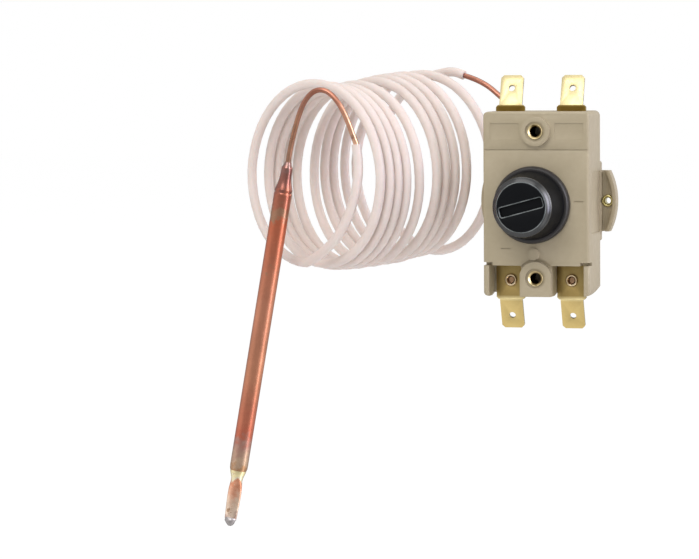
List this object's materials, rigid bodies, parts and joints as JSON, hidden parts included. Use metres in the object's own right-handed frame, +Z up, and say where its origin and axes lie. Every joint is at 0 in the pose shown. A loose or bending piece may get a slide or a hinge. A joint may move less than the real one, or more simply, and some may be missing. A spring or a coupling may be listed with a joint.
{
  "type": "safety temperature limiter",
  "caption": "Manual-reset safety temperature limiter: beige housing with brass blades and black screw cap, sleeved coiled capillary and copper sensing bulb.",
  "frame": {"origin": "midway between the two fixing holes, on the plane of the boss fronts, where the housing meets its panel", "axes": "+X to the right seen from the front, +Y from the front to the back, +Z up along the line of the two fixing holes"},
  "size_m": [0.1056, 0.0696, 0.1264],
  "materials": {
    "housing_plastic": "fine satin moulding",
    "cap_plastic": "glossy",
    "button_plastic": "glossy",
    "carrier_plastic": "satin",
    "terminal_brass": "rolled sheet",
    "insert_brass": "turned",
    "contact_silver": "polished silver alloy",
    "bar_copper": "rolled copper alloy",
    "steel": "zinc-plated",
    "spring_steel": "drawn wire",
    "ceramic": "unglazed ceramic",
    "capillary_copper": "oxidised copper",
    "sleeve": "satin sleeve",
    "solder": "dull solder"
  },
  "bodies": {
    "housing": {"front_housing": "housing_plastic", "rear_cover": "housing_plastic", "fixing_insert_upper": "insert_brass", "fixing_insert_lower": "insert_brass", "cap_bush": "cap_plastic", "terminal_upper_left": "terminal_brass", "terminal_upper_right": "terminal_brass", "terminal_lower_left": "terminal_brass", "terminal_lower_right": "terminal_brass", "terminal_rivets": "insert_brass", "ear_rivets": "insert_brass", "fixed_contacts": "contact_silver", "reset_spring": "spring_steel", "contact_springs": "spring_steel", "lever_pin": "steel", "diaphragm_capsule": "steel", "diaphragm_cup": "steel", "capillary_ferrule": "insert_brass", "capillary_body_end": "capillary_copper", "capillary_coil": "sleeve", "capillary_bulb_end": "capillary_copper", "sensing_bulb": "capillary_copper", "bulb_solder": "solder"},
    "cap": {"reset_cap": "cap_plastic"},
    "button": {"reset_button": "button_plastic"},
    "carrier": {"contact_carrier": "carrier_plastic", "contact_bar_left": "bar_copper", "contact_bar_right": "bar_copper"},
    "lever": {"trip_lever": "steel", "calibration_screw": "insert_brass"},
    "thrust": {"thrust_pin": "ceramic"}
  },
  "joints": [
    {"name": "cap_lift", "type": "slide", "parent": "housing", "child": "cap", "axis": [0, -1, 0], "range_m": [0, 0.014]},
    {"name": "reset_press", "type": "slide", "parent": "housing", "child": "button", "axis": [0, 1, 0], "range_m": [0, 0.0016], "stiffness_N_per_m": 100, "springref_m": -0.002, "deforming": ["reset_spring"]},
    {"name": "trip_tilt", "type": "hinge", "parent": "housing", "child": "lever", "pos_m": [-0.001, 0.0131, -0.009], "axis": [1, 0, 0], "range_deg": [0, 6.9]},
    {"name": "carrier_slide", "type": "slide", "parent": "housing", "child": "carrier", "axis": [0, -1, 0], "range_m": [0, 0.0015], "deforming": ["contact_springs", "reset_spring"]},
    {"name": "thrust_slide", "type": "slide", "parent": "housing", "child": "thrust", "axis": [0, -1, 0], "range_m": [0, 0.0009]}
  ],
  "couplings": [
    {"joint": "trip_tilt", "follows": "carrier_slide", "rad_per_m": 79},
    {"joint": "thrust_slide", "follows": "carrier_slide", "ratio": 0.59}
  ]
}
